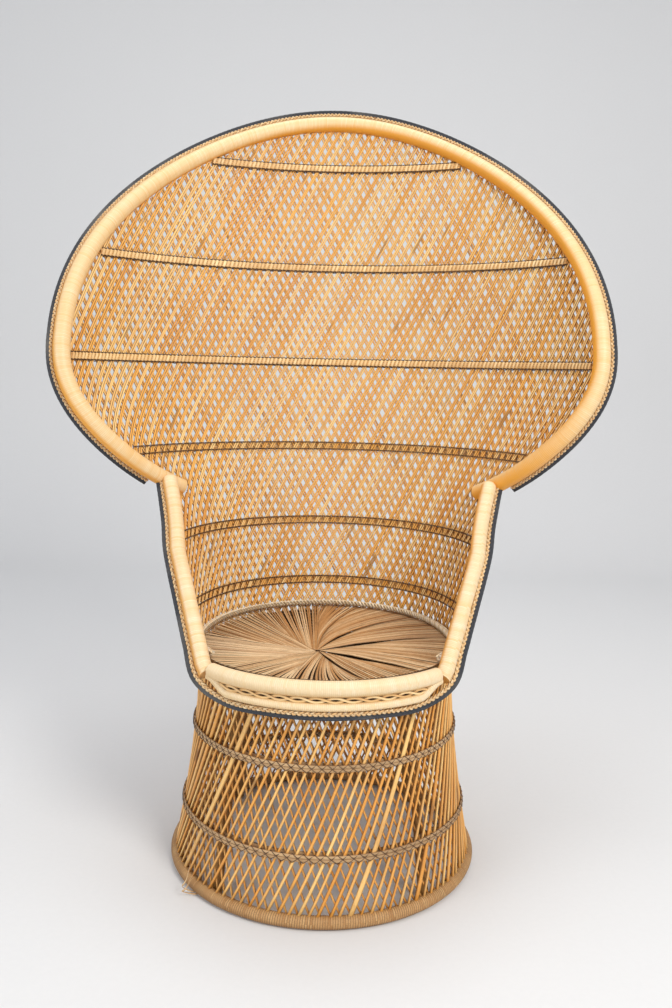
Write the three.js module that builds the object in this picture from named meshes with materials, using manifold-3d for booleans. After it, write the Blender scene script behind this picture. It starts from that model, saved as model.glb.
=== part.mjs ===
// A peacock chair of rattan: a round open skirt carries a dished seat, and a tall fan back is woven on a bent pole.
// Lengths are millimetres. +Z is up, the sitter faces -Y, and the floor is z = 0.
// The group is moved at the end so that the middle of the chair's footprint is at x = y = 0.
import * as THREE from "three";
import { mergeVertices } from "three/addons/utils/BufferGeometryUtils.js";
import Module from "manifold-3d";

const wasm = await Module();
wasm.setup();

// Clearances
const contactGap = 0.3; // between two pieces that touch
const poleGap = 1; // between a pole and what ends beside it
const weaveSlack = 2; // how far a flat facet of the weave may leave its curved wall

// Skirt, a round wall that is wide at the floor and upright under the seat
const baseRingRadius = 288;
const baseRingThickness = 25;
const waistRadius = 242;
const waistHeight = 360;
const skirtFlare = 48.5;
const skirtCurvePower = 1.5;
const skirtColumns = 48; // half diamonds round the skirt
const skirtRows = 6; // half diamonds up the skirt
const skirtStrandShare = 0.36;

// Hoops that grip the skirt inside and outside
const lowerHoopHeight = 119;
const upperHoopHeight = 272;
const hoopWidth = 12;
const hoopThickness = 3.5;
const hoopGap = 0.7;

// Seat
const seatHeight = 436;
const seatRadius = 248; // middle of the woven wall at seat height
const seatDish = 30;
const seatThickness = 7;
const seatBundles = 9; // fans of cane that overlap like a pinwheel
const seatBundleStep = 12;
const seatTwistShare = 0.35; // turn of a bundle from the middle to the edge, in bundles
const seatDrop = 5; // from the top of the seat's edge to seat height
const seatSideGap = 4; // between the seat and the arms and rail
const seatRingThickness = 22;
const seatBraidThickness = 10;
const legThickness = 20;
const legFootHeight = 3;
const legAngles = [45, 135, 225, 315].map(THREE.MathUtils.degToRad);
const braceThickness = 16;
const braceHeight = 350;

// Woven sheets
const weaveThickness = 6;

// Tub and fan wall: at each height its plan is an arc, whose radius grows upwards
const wallLeanShare = 0.165; // how far the middle of the back leans for its height
const tubSpreadShare = 0.22; // how much the radius grows for the height
const shoulderFlare = 190; // extra radius of the fan above the tub
const shoulderStart = 580;
const shoulderEnd = 960;
const backColumnPitch = 88;
const backRowPitch = 78;
const backStrandShare = 0.54;

// Bent pole round the fan
const rimSpan = 613; // half width of the fan, measured round the wall
const rimShapeShares = [1, -0.0686, -0.0297]; // of the span, on sin t, sin 2t and sin 3t
const rimMiddleHeight = 1000;
const rimTopRise = 487;
const rimBottomDrop = 372;
const rimEndAngle = THREE.MathUtils.degToRad(151);
const rimMeetsArmAngle = THREE.MathUtils.degToRad(141);
const rimEdgingEndAngle = THREE.MathUtils.degToRad(138);
const rimThickness = 31;

// Arms and the rail across the front
const armThickness = 30;
const armTopSpare = 14; // how far an arm stands past the rim pole
const armInsetShares = [0.3, 0.92]; // of the arm, between which it leaves the wall for the rim pole's inner side
const railRadius = 278;
const railHeight = 422.6;
const railThickness = 28;
const railEndAngle = THREE.MathUtils.degToRad(133); // from the middle of the back
const cornerStartAngle = THREE.MathUtils.degToRad(70);

// Apron under the front rail, from the top down
const slotBraidHeight = 12;
const slotBraidDepth = 10;
const lowerRailThickness = 15;
const edgeBraidThickness = 10;
const edgeCordThickness = 7.5;
const slotBraidEndAngle = THREE.MathUtils.degToRad(138);
const lowerRailEndAngle = THREE.MathUtils.degToRad(145);
const edgingTurnAngle = THREE.MathUtils.degToRad(143); // where the edging leaves the front for the arms
const edgingTopShare = 0.84; // of the arm, where the edging beside it ends

// Level bands across the back
const bandHeights = [485, 615, 777, 960, 1167, 1388];
const bandWidth = 15;
const bandThickness = 3.5;

// Steps of the curves and sides of the round sections
const ringSteps = 48;
const ringSides = 8;
const poleSides = 8;
const thinSides = 6;
const braidSides = 5;
const rimSteps = 44;
const armSteps = 8;
const railSteps = 24;
const bandSteps = 20;
const seatRings = 5;
const seatStepsPerBundle = 4;
const seatBraidSteps = 32;
const tubBorderRows = 20;
const armTopBorderRows = 36;
const fanBorderRows = 36;
const boardColumns = 12; // of the board that trims the weave
const boardReach = 25; // half depth of that board
const searchSteps = 12; // halvings when looking for where two things meet

// Finishes
const finishes = {
  pole: { color: 0xe8c88f, roughness: 0.42, metalness: 0 },
  cane: { color: 0xd7a35c, roughness: 0.6, metalness: 0 },
  skirt: { color: 0xcf9548, roughness: 0.6, metalness: 0 },
  band: { color: 0xdcb477, roughness: 0.55, metalness: 0 },
  seat: { color: 0xa98256, roughness: 0.65, metalness: 0 },
  braid: { color: 0xb3a07c, roughness: 0.8, metalness: 0 },
  edging: { color: 0x2f2c2b, roughness: 0.7, metalness: 0 },
};

const group = new THREE.Group();

function add(name, geometry, finish) {
  const mesh = new THREE.Mesh(geometry, new THREE.MeshStandardMaterial(finishes[finish]));
  mesh.name = name;
  group.add(mesh);
}

function smoothShare(start, end, value) {
  return THREE.MathUtils.smoothstep(value, start, end);
}

// A closed geometry from points and triangles that share them.
function solid(points, triangles) {
  const geometry = new THREE.BufferGeometry();
  geometry.setAttribute("position", new THREE.Float32BufferAttribute(points.flatMap((p) => p.toArray()), 3));
  geometry.setIndex(triangles.flat());
  return geometry;
}

// Sheets: patches of a flat pattern, laid on a curved wall and given a thickness

// Each patch is a list of [x, y] corners, counter-clockwise as seen from outside the wall.
// place(x, y, offset) gives the point on the wall; the pattern repeats every wrap columns if wrap is given.
function thickSheet(patches, place, inner, outer, wrap) {
  const points = [];
  const numbers = new Map();
  const corner = ([x, y]) => {
    const turned = wrap ? ((x % wrap) + wrap) % wrap : x;
    const key = turned.toFixed(3) + "," + y.toFixed(3);
    if (!numbers.has(key)) {
      numbers.set(key, points.length);
      points.push(place(x, y, inner), place(x, y, outer));
    }
    return numbers.get(key);
  };
  const triangles = [];
  const edges = new Map();
  for (const patch of patches) {
    const ring = patch.map(corner);
    for (let i = 2; i < ring.length; i++) {
      triangles.push([ring[0] + 1, ring[i - 1] + 1, ring[i] + 1], [ring[0], ring[i], ring[i - 1]]);
    }
    ring.forEach((a, i) => {
      const b = ring[(i + 1) % ring.length];
      if (edges.has(b + "," + a)) edges.delete(b + "," + a);
      else edges.set(a + "," + b, [a, b]);
    });
  }
  for (const [a, b] of edges.values()) {
    triangles.push([a, b, b + 1], [a, b + 1, a + 1]);
  }
  return solid(points, triangles);
}

// The patches of a diamond lattice. Strands run diagonally through the points whose column and row add up to an
// even number, and share is a strand's width beside the pitch. bend(from, to) says how many steps a strand needs.
function latticePatches(columnList, rowList, share, keeps, bend) {
  const patches = [];
  for (const row of rowList) {
    for (const column of columnList) {
      if ((column + row) % 2 !== 0) continue;
      const below = keeps(row - 1);
      const above = keeps(row + 1);
      const left = [column - share, row];
      const right = [column + share, row];
      const top = [column, row + share];
      const foot = [column, row - share];
      const middle = [column, row];
      const bent = bend(left, right) > 1 || bend(foot, top) > 1;
      if (above && below && !bent) patches.push([left, foot, right, top]);
      else if (above && !bent) patches.push([left, right, top]);
      else if (below && !bent) patches.push([left, foot, right]);
      else {
        if (above) patches.push([middle, right, top], [middle, top, left]);
        if (below) patches.push([middle, left, foot], [middle, foot, right]);
      }
      if (!above) continue;
      for (const side of [1, -1]) {
        const steps = bend(middle, [column + side, row + 1]);
        const start = [[column + side * share, row], [column, row + share]];
        const end = [[column + side, row + 1 - share], [column + side * (1 - share), row + 1]];
        const rung = (k, i) => start[i].map((value, axis) => value + ((end[i][axis] - value) * k) / steps);
        for (let k = 0; k < steps; k++) {
          const patch = [rung(k, 0), rung(k + 1, 0), rung(k + 1, 1), rung(k, 1)];
          patches.push(side > 0 ? patch : patch.reverse());
        }
      }
    }
  }
  return patches;
}

// A strip along a row of stations; place(station, across, offset) has across at 0 and 1.
function strip(stations, place, inner, outer, closed) {
  const patches = stations.slice(closed ? 0 : 1).map((_, i) => [[i, 0], [i + 1, 0], [i + 1, 1], [i, 1]]);
  const at = (x) => stations[x % stations.length];
  return thickSheet(patches, (x, y, offset) => place(at(x), y, offset), inner, outer, closed && stations.length);
}

// Poles and cords

// A round section carried along points. side(i) is a direction across the path that keeps the section from turning.
function pole(points, thickness, sides, side, closed) {
  const count = points.length;
  const corners = [];
  points.forEach((point, i) => {
    const before = points[closed ? (i + count - 1) % count : Math.max(i - 1, 0)];
    const after = points[closed ? (i + 1) % count : Math.min(i + 1, count - 1)];
    const along = after.clone().sub(before).normalize();
    const across = side(i).clone().addScaledVector(along, -along.dot(side(i))).normalize();
    const up = along.clone().cross(across);
    for (let k = 0; k < sides; k++) {
      const turn = ((k + 1 / 2) * 2 * Math.PI) / sides;
      corners.push(
        point
          .clone()
          .addScaledVector(across, (Math.cos(turn) * thickness) / 2)
          .addScaledVector(up, (Math.sin(turn) * thickness) / 2),
      );
    }
  });
  const triangles = [];
  for (let i = 0; i < (closed ? count : count - 1); i++) {
    const next = (i + 1) % count;
    for (let k = 0; k < sides; k++) {
      const l = (k + 1) % sides;
      const [a, b, c, d] = [i * sides + k, i * sides + l, next * sides + l, next * sides + k];
      triangles.push([a, b, c], [a, c, d]);
    }
  }
  if (!closed) {
    for (let k = 2; k < sides; k++) {
      const last = (count - 1) * sides;
      triangles.push([0, k, k - 1], [last, last + k - 1, last + k]);
    }
  }
  return solid(corners, triangles);
}

// How far the flat sides of a round section are from its middle.
function flatReach(thickness, sides) {
  return (thickness / 2) * Math.cos(Math.PI / sides);
}

const up = new THREE.Vector3(0, 0, 1);

// A point on a circle round the base axis; angles run from the middle of the back towards +X.
function onCircle(radius, angle, height) {
  return new THREE.Vector3(radius * Math.sin(angle), radius * Math.cos(angle), height);
}

function shares(count) {
  return Array.from({ length: count + 1 }, (_, i) => i / count);
}

function ringPole(radius, height, thickness, sides) {
  const angles = shares(ringSteps).slice(0, -1).map((share) => share * 2 * Math.PI);
  return pole(angles.map((angle) => onCircle(radius, angle, height)), thickness, sides, () => up, true);
}

// An arc across the front, from one end angle round by the front to the other.
function frontArc(radius, height, endAngle) {
  return shares(railSteps).map((share) => onCircle(radius, endAngle + share * 2 * (Math.PI - endAngle), height));
}

// Skirt
const baseRingFlat = flatReach(baseRingThickness, ringSides);
const baseRingTop = 2 * baseRingFlat;
const skirtFoot = baseRingTop + contactGap;
const weaveHalf = weaveThickness / 2;
const seatEdge = seatHeight - seatDrop;
const seatFrontRoom = railRadius - Math.max(railThickness, armThickness) / 2 - seatSideGap;
const skirtTop = seatUnderside(waistRadius - weaveHalf) - contactGap;
const wallFoot = skirtTop + contactGap + weaveHalf * (tubSpreadShare + wallLeanShare);

function skirtRadius(height) {
  return waistRadius + skirtFlare * Math.max(0, 1 - height / waistHeight) ** skirtCurvePower;
}

function skirtPoint(angle, height, offset) {
  return onCircle(skirtRadius(height) + offset, angle, height);
}

function skirtWeave() {
  const columns = Array.from({ length: skirtColumns }, (_, i) => i);
  const rows = Array.from({ length: skirtRows + 1 }, (_, i) => i);
  const keeps = (row) => row >= 0 && row <= skirtRows;
  const patches = latticePatches(columns, rows, skirtStrandShare, keeps, () => 1);
  const place = (x, y, offset) =>
    skirtPoint((-x * 2 * Math.PI) / skirtColumns, skirtFoot + (y / skirtRows) * (skirtTop - skirtFoot), offset);
  return thickSheet(patches, place, -weaveHalf, weaveHalf, skirtColumns);
}

function skirtHoop(height, inner, outer) {
  const angles = shares(ringSteps).slice(1).map((share) => (1 - share) * 2 * Math.PI);
  const place = (angle, across, offset) => skirtPoint(angle, height + (across - 1 / 2) * hoopWidth, offset);
  return strip(angles, place, inner, outer, true);
}

function addSkirt() {
  add("base_ring", ringPole(baseRingRadius, baseRingFlat, baseRingThickness, ringSides), "pole");
  add("skirt_weave", skirtWeave(), "skirt");
  const reach = weaveHalf + hoopGap;
  for (const [name, height] of [["lower", lowerHoopHeight], ["upper", upperHoopHeight]]) {
    const bow = skirtRadius(height) * (1 - Math.cos(Math.PI / ringSteps));
    add(name + "_hoop_inside", skirtHoop(height, -reach - hoopThickness, -reach), "band");
    add(name + "_hoop_outside", skirtHoop(height, reach + bow, reach + bow + hoopThickness), "band");
  }
}

// Wall of the tub and the fan

function wallRadius(height) {
  const rise = height - seatHeight;
  return seatRadius + tubSpreadShare * rise + shoulderFlare * smoothShare(shoulderStart, shoulderEnd, height);
}

function wallCentre(height) {
  return seatRadius + wallLeanShare * (height - seatHeight) - wallRadius(height);
}

// Near the seat's front corners the wall swings out to meet the rail.
function cornerReach(angle, height) {
  const low = 1 - THREE.MathUtils.clamp((height - seatHeight) / (armTopHeight - seatHeight), 0, 1);
  return (railRadius - seatRadius) * low * smoothShare(cornerStartAngle, railEndAngle, Math.abs(angle));
}

function wallSurface(angle, height) {
  const radius = wallRadius(height) + cornerReach(angle, height);
  return new THREE.Vector3(radius * Math.sin(angle), wallCentre(height) + radius * Math.cos(angle), height);
}

// Direction out of the wall, away from the sitter.
const slopeStepShare = 1e-4;
function wallNormal(angle, height) {
  const rise = seatHeight * slopeStepShare;
  const round = wallSurface(angle + slopeStepShare, height).sub(wallSurface(angle - slopeStepShare, height));
  const climb = wallSurface(angle, height + rise).sub(wallSurface(angle, height - rise));
  return climb.cross(round).normalize();
}

// A point of the wall, round being the length along its arc from the middle of the back.
function wallPoint(round, height, offset) {
  const angle = round / wallRadius(height);
  return wallSurface(angle, height).addScaledVector(wallNormal(angle, height), offset);
}

// Rim pole: angle t is 0 at the top of the fan
function rimHeight(t) {
  return rimMiddleHeight + (Math.cos(t) >= 0 ? rimTopRise : rimBottomDrop) * Math.cos(t);
}

function rimRound(t) {
  return rimSpan * rimShapeShares.reduce((sum, share, i) => sum + share * Math.sin((i + 1) * t), 0);
}

const armTopHeight = rimHeight(rimMeetsArmAngle);

function rimPoint(t) {
  return wallPoint(rimRound(t), rimHeight(t), 0);
}

// The side of a bent pole that faces away from the chair's middle, seen from the front.
function outwardAlong(points, i, centre) {
  const along = points[Math.min(i + 1, points.length - 1)].clone().sub(points[Math.max(i - 1, 0)]).normalize();
  const flat = new THREE.Vector3(along.z, 0, -along.x);
  if (flat.dot(points[i].clone().sub(centre)) < 0) flat.negate();
  return flat.addScaledVector(along, -along.dot(flat)).normalize();
}

// A row of points moved sideways to the outer side of the path.
function besidePath(points, distance, centre) {
  return points.map((point, i) => point.clone().addScaledVector(outwardAlong(points, i, centre), distance));
}

const rimCentre = new THREE.Vector3(0, 0, rimMiddleHeight);
const rimAngles = shares(rimSteps).map((share) => (2 * share - 1) * rimEndAngle);
const rimPath = rimAngles.map(rimPoint);
const edgingAngles = shares(rimSteps).map((share) => (2 * share - 1) * rimEdgingEndAngle);
const edgingPath = edgingAngles.map(rimPoint);

// Arm: up the wall's front edge, then across the inner side of the rim pole's lower end
const armContact = (rimThickness + armThickness) / 2 + contactGap;

function armAngle(share) {
  return THREE.MathUtils.lerp(railEndAngle, rimRound(rimMeetsArmAngle) / wallRadius(armTopHeight), share);
}

function armPoint(share) {
  const angle = armAngle(share);
  const height = THREE.MathUtils.lerp(railHeight, armTopHeight, share);
  const inset = armContact * smoothShare(...armInsetShares, share);
  return wallSurface(angle, height).addScaledVector(wallNormal(angle, height), -inset);
}

function armLine(side) {
  const points = shares(armSteps).map(armPoint);
  const footward = points[0].clone().sub(points[1]).normalize();
  const topward = points[armSteps].clone().sub(points[armSteps - 1]).normalize();
  points[0].addScaledVector(footward, railThickness / 2);
  points.push(points[armSteps].clone().addScaledVector(topward, armTopSpare));
  points.forEach((point) => (point.x *= side));
  return points;
}

// Border of the weave: the wall reaches out from the middle until it meets a pole

function distanceToPath(point, path) {
  let least = Infinity;
  const segment = new THREE.Line3();
  const nearest = new THREE.Vector3();
  for (let i = 1; i < path.length; i++) {
    segment.set(path[i - 1], path[i]).closestPointToPoint(point, true, nearest);
    least = Math.min(least, nearest.distanceTo(point));
  }
  return least;
}

const rightRimPath = rimPath.slice(rimSteps / 2);
const rightArmPath = armLine(1);

function clearOfPoles(round, height, offset) {
  const armShare = THREE.MathUtils.clamp((height - railHeight) / (armTopHeight - railHeight), 0, 1);
  if (armShare < 1 && round > wallRadius(height) * armAngle(armShare)) return false;
  const point = wallPoint(round, height, offset);
  return Math.min(
    distanceToPath(point, rightRimPath) - rimThickness / 2,
    distanceToPath(point, rightArmPath) - armThickness / 2,
  ) > poleGap;
}

// Half width of the wall at a height, along its arc, up to the poles, for a sheet that lies between two offsets.
function wallReach(height, inner, outer) {
  const offsets = [inner, outer];
  const clears = (round) => offsets.every((offset) => clearOfPoles(round, height, offset));
  let clear = 0;
  const stride = rimThickness / 2;
  while (clear < rimSpan + rimThickness && clears(clear + stride)) clear += stride;
  let blocked = clear + stride;
  for (let i = 0; i < searchSteps; i++) {
    const middle = (clear + blocked) / 2;
    if (clears(middle)) clear = middle;
    else blocked = middle;
  }
  return clear;
}

// Woven back: the lattice of strands, trimmed to the wall inside the poles

function manifoldOf(geometry) {
  const merged = mergeVertices(geometry);
  return new wasm.Manifold(
    new wasm.Mesh({
      numProp: 3,
      vertProperties: merged.attributes.position.array,
      triVerts: new Uint32Array(merged.index.array),
    }),
  );
}

function geometryOf(manifold) {
  const mesh = manifold.getMesh();
  const geometry = new THREE.BufferGeometry();
  geometry.setAttribute("position", new THREE.Float32BufferAttribute(mesh.vertProperties, mesh.numProp));
  geometry.setIndex(Array.from(mesh.triVerts));
  return geometry;
}

// The heights of the border's points, closer together beside the end of the rim pole and near the top of the fan.
function borderHeights() {
  const stub = rimHeight(rimEndAngle) - rimThickness;
  const top = rimHeight(0) - rimThickness / 2 - poleGap;
  const easing = (share) => Math.sin((share * Math.PI) / 2);
  return [
    ...shares(tubBorderRows).map((share) => THREE.MathUtils.lerp(wallFoot, stub, share)),
    ...shares(armTopBorderRows).slice(1).map((share) => THREE.MathUtils.lerp(stub, armTopHeight, share)),
    ...shares(fanBorderRows).slice(1).map((share) => THREE.MathUtils.lerp(armTopHeight, top, easing(share))),
  ];
}

function trimBoard() {
  const heights = borderHeights();
  const side = weaveHalf + weaveSlack;
  const reaches = heights.map((height) => wallReach(height, -side, side));
  const patches = [];
  for (let row = 0; row < heights.length - 1; row++) {
    for (let column = 0; column < boardColumns; column++) {
      patches.push([[column, row], [column + 1, row], [column + 1, row + 1], [column, row + 1]]);
    }
  }
  const place = (x, y, offset) => wallPoint((1 - (2 * x) / boardColumns) * reaches[y], heights[y], offset);
  return thickSheet(patches, place, -boardReach, boardReach);
}

function backWeave() {
  const halfColumn = backColumnPitch / 2;
  const columnsEachSide = Math.ceil((rimSpan + backColumnPitch) / halfColumn);
  const rowCount = Math.ceil((rimHeight(0) - wallFoot) / backRowPitch) + 2;
  const columns = Array.from({ length: 2 * columnsEachSide + 1 }, (_, i) => i - columnsEachSide);
  const rows = Array.from({ length: rowCount + 1 }, (_, i) => i - 1);
  const place = (x, y, offset) => wallPoint(-x * halfColumn, wallFoot + y * backRowPitch, offset);
  const bend = (from, to) => {
    const chordMiddle = place(...from, 0).add(place(...to, 0)).multiplyScalar(1 / 2);
    const middle = place((from[0] + to[0]) / 2, (from[1] + to[1]) / 2, 0);
    return Math.max(1, Math.ceil(Math.sqrt(middle.distanceTo(chordMiddle) / weaveSlack)));
  };
  const keeps = (row) => rows.includes(row);
  const lattice = thickSheet(latticePatches(columns, rows, backStrandShare, keeps, bend), place, -weaveHalf, weaveHalf);
  const trimmed = manifoldOf(lattice).intersect(manifoldOf(trimBoard()));
  // Crumbs of strand that a pole cuts off beside the border belong to no other strand.
  const bodies = trimmed.decompose().sort((a, b) => b.volume() - a.volume());
  return bodies[0];
}

function wallBand(height, inner, outer) {
  const edges = [height - bandWidth / 2, height, height + bandWidth / 2];
  const reach = Math.min(...edges.map((edge) => wallReach(edge, inner, outer)));
  const stations = shares(bandSteps).map((share) => (1 - 2 * share) * reach);
  const place = (round, across, offset) => wallPoint(round, height + (across - 1 / 2) * bandWidth, offset);
  return strip(stations, place, inner, outer, false);
}

// A band laid against one side of the weave: the least offset at which they don't meet, and the gap of a contact.
function seatedBand(height, side, weave) {
  const at = (offset) =>
    side > 0 ? wallBand(height, offset, offset + bandThickness) : wallBand(height, -offset - bandThickness, -offset);
  let meets = 0;
  let clear = weaveThickness + 2 * weaveSlack;
  for (let i = 0; i < searchSteps; i++) {
    const middle = (meets + clear) / 2;
    if (manifoldOf(at(middle)).intersect(weave).volume() > 0) meets = middle;
    else clear = middle;
  }
  return at(clear + contactGap);
}

function addBack() {
  const weave = backWeave();
  add("back_weave", geometryOf(weave), "cane");
  bandHeights.forEach((height, i) => {
    add("back_band_" + (i + 1) + "_inside", seatedBand(height, -1, weave), "band");
    add("back_band_" + (i + 1) + "_outside", seatedBand(height, 1, weave), "band");
  });
}

// Seat

function seatSurface(share) {
  return seatEdge - seatDish * (1 - share ** 2);
}

// Height of the seat's underside at a radius, at the front, where it is lowest.
function seatUnderside(radius) {
  return seatSurface(radius / seatFrontRoom) - seatThickness;
}

// Radius of the space inside the wall at seat height, which swings out to the rail at the front.
function seatRoom(angle) {
  const turned = Math.abs(THREE.MathUtils.euclideanModulo(angle + Math.PI, 2 * Math.PI) - Math.PI);
  const swing = smoothShare(cornerStartAngle, railEndAngle, turned);
  const back = wallRadius(seatEdge - seatThickness) - weaveHalf - weaveSlack - contactGap;
  return back + (seatFrontRoom - back) * swing;
}

function seatPan() {
  const sectors = seatBundles * seatStepsPerBundle;
  const rise = shares(seatStepsPerBundle - 1);
  const patches = [];
  for (let ring = 1; ring < seatRings; ring++) {
    for (let sector = 0; sector < sectors; sector++) {
      patches.push([[sector, ring], [sector, ring + 1], [sector + 1, ring + 1], [sector + 1, ring]]);
    }
  }
  const place = (x, y, offset) => {
    const share = y / seatRings;
    const turn = (x / seatStepsPerBundle + seatTwistShare * share) / seatBundles;
    const angle = turn * 2 * Math.PI;
    const lift = offset > 0 ? offset + seatBundleStep * rise[x % seatStepsPerBundle] * share * (1 - share) : 0;
    return onCircle(seatRoom(angle) * share, angle, seatSurface(share) - seatThickness + lift);
  };
  for (let sector = 0; sector < sectors; sector++) {
    patches.push([[0, 0], [sector, 1], [sector + 1, 1]].map(([x, y]) => (y ? [x, y] : [0, 0])));
  }
  return thickSheet(patches.map((patch) => patch.reverse()), place, 0, seatThickness, sectors);
}

const seatRingRadius = waistRadius - weaveHalf - contactGap - seatRingThickness / 2;
const seatRingReach = flatReach(seatRingThickness, thinSides);
const seatRingHeight = seatUnderside(seatRingRadius - seatRingThickness / 2) - contactGap - seatRingReach;

function straightPole(from, to, thickness) {
  const side = Math.abs(to.clone().sub(from).normalize().z) > 1 / 2 ? new THREE.Vector3(1, 0, 0) : up;
  return pole([from, to], thickness, poleSides, () => side, false);
}

const legFootRadius = baseRingRadius - (baseRingThickness + legThickness) / 2 - 2 * contactGap;
const legTopRadius = seatRingRadius - (seatRingThickness + legThickness) / 2 - 2 * contactGap;
const legTopHeight = seatUnderside(legTopRadius - legThickness) - contactGap;

function legRadiusAt(height) {
  const share = (height - legFootHeight) / (legTopHeight - legFootHeight);
  return legFootRadius + (legTopRadius - legFootRadius) * share;
}

function addSeat() {
  add("seat_pan", seatPan(), "seat");
  add("seat_ring", ringPole(seatRingRadius, seatRingHeight, seatRingThickness, thinSides), "pole");
  legAngles.forEach((angle, i) => {
    const foot = onCircle(legFootRadius, angle, legFootHeight);
    const top = onCircle(legTopRadius, angle, legTopHeight);
    add("frame_leg_" + (i + 1), straightPole(foot, top, legThickness), "pole");
  });
  [0, 1].forEach((i) => {
    const height = braceHeight - i * (braceThickness + contactGap);
    const reach = legRadiusAt(height) - legThickness / 2 - 2 * contactGap;
    const ends = [legAngles[i], legAngles[i + 2]].map((angle) => onCircle(reach, angle, height));
    add("seat_brace_" + (i + 1), straightPole(...ends, braceThickness), "pole");
  });
  const braidHeight = seatEdge + contactGap + flatReach(seatBraidThickness, thinSides);
  const braidEnd = railEndAngle - Math.asin(armThickness / railRadius);
  const braidPath = shares(seatBraidSteps).map((share) => {
    const angle = (2 * share - 1) * braidEnd;
    return onCircle(seatRoom(angle) - seatBraidThickness / 2, angle, braidHeight);
  });
  add("seat_braid", pole(braidPath, seatBraidThickness, thinSides, () => up, false), "braid");
}

// Front rail, apron, arms and the edging round them

const slotBraidMiddle = railHeight - flatReach(railThickness, poleSides) - contactGap - slotBraidHeight / 2;
const lowerRailReach = flatReach(lowerRailThickness, thinSides);
const lowerRailHeight = slotBraidMiddle - slotBraidHeight / 2 - contactGap - lowerRailReach;
const edgeBraidHeight = lowerRailHeight - lowerRailReach - contactGap - edgeBraidThickness / 2;

// Middle line of the braid that runs down beside one arm, under the front rail and up beside the other.
function edgingUnderFront() {
  const distance = (armThickness + edgeBraidThickness) / 2 + contactGap;
  const arc = [0, 1 / 4, 1 / 2, 3 / 4, 1].map((share) =>
    onCircle(railRadius, edgingTurnAngle + share * 2 * (Math.PI - edgingTurnAngle), edgeBraidHeight),
  );
  const arm = armLine(1);
  const beside = besidePath(arm, distance, rimCentre).slice(1, Math.round(edgingTopShare * armSteps) + 1);
  const corner = arm[0].clone().addScaledVector(outwardAlong(arm, 0, rimCentre), distance + contactGap);
  const right = [corner, ...beside].reverse();
  const left = right.map((point) => point.clone().setX(-point.x)).reverse();
  const curve = new THREE.CatmullRomCurve3([...right, ...arc, ...left], false, "centripetal");
  return curve.getSpacedPoints(2 * armSteps + railSteps);
}

function addFront() {
  const railTurn = (armThickness / 2 + contactGap) / railRadius;
  const railPath = frontArc(railRadius, railHeight, railEndAngle + 2 * railTurn);
  add("front_rail", pole(railPath, railThickness, poleSides, () => up, false), "pole");
  const slotPlace = (angle, across, offset) =>
    onCircle(railRadius + offset, angle, slotBraidMiddle + (across - 1 / 2) * slotBraidHeight);
  const slotTurn = 2 * (Math.PI - slotBraidEndAngle);
  const angles = shares(railSteps).map((share) => slotBraidEndAngle + (1 - share) * slotTurn);
  add("slot_braid", strip(angles, slotPlace, -slotBraidDepth / 2, slotBraidDepth / 2, false), "band");
  const lowerPath = frontArc(railRadius, lowerRailHeight, lowerRailEndAngle);
  add("lower_rail", pole(lowerPath, lowerRailThickness, thinSides, () => up, false), "pole");
  for (const [name, side] of [["right_arm", 1], ["left_arm", -1]]) {
    add(name, pole(armLine(side), armThickness, poleSides, () => new THREE.Vector3(1, 0, 0), false), "pole");
  }
  const forward = () => new THREE.Vector3(0, 1, 0);
  const braidPath = edgingUnderFront();
  const cordPath = besidePath(braidPath, (edgeBraidThickness + edgeCordThickness) / 2 + contactGap, rimCentre);
  add("front_edge_braid", pole(braidPath, edgeBraidThickness, braidSides, forward, false), "band");
  add("front_edge_cord", pole(cordPath, edgeCordThickness, braidSides, forward, false), "edging");
}

function addRim() {
  const inward = (path) => (i) => outwardAlong(path, i, rimCentre);
  add("rim_pole", pole(rimPath, rimThickness, poleSides, inward(rimPath), false), "pole");
  const braidDistance = (rimThickness + edgeBraidThickness) / 2 + contactGap;
  const cordStep = flatReach(edgeBraidThickness, braidSides) + edgeCordThickness / 2 + contactGap;
  const braidPath = besidePath(edgingPath, braidDistance, rimCentre);
  const cordPath = besidePath(braidPath, cordStep, rimCentre);
  add("rim_braid", pole(braidPath, edgeBraidThickness, braidSides, inward(braidPath), false), "band");
  add("rim_cord", pole(cordPath, edgeCordThickness, braidSides, inward(cordPath), false), "edging");
}

addSkirt();
addSeat();
addFront();
addRim();
addBack();

// The middle of the footprint goes to x = y = 0.
const box = new THREE.Box3().setFromObject(group, true);
const middle = box.getCenter(new THREE.Vector3());
group.position.set(-middle.x, -middle.y, 0);

export default group;
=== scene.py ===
# Looks of the peacock chair, in metres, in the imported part's frame: +Z up, sitter facing -Y, floor at z = 0.
import math
import random

import bpy
import numpy as np
from mathutils import Matrix, Vector


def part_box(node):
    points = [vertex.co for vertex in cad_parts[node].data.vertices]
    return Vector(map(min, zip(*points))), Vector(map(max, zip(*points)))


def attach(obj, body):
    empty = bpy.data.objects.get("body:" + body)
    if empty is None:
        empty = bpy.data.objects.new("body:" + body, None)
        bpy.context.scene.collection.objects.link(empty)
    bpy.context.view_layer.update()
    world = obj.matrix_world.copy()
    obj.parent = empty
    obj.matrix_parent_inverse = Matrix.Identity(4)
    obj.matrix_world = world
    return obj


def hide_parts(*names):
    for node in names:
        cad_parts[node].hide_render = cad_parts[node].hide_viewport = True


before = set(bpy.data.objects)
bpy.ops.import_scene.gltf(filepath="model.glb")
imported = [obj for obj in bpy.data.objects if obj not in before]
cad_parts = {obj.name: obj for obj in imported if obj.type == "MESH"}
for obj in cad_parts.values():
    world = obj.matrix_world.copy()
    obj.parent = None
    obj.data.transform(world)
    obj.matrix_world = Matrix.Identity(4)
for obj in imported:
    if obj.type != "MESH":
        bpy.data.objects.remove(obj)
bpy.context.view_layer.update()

rng = random.Random(7)

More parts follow.
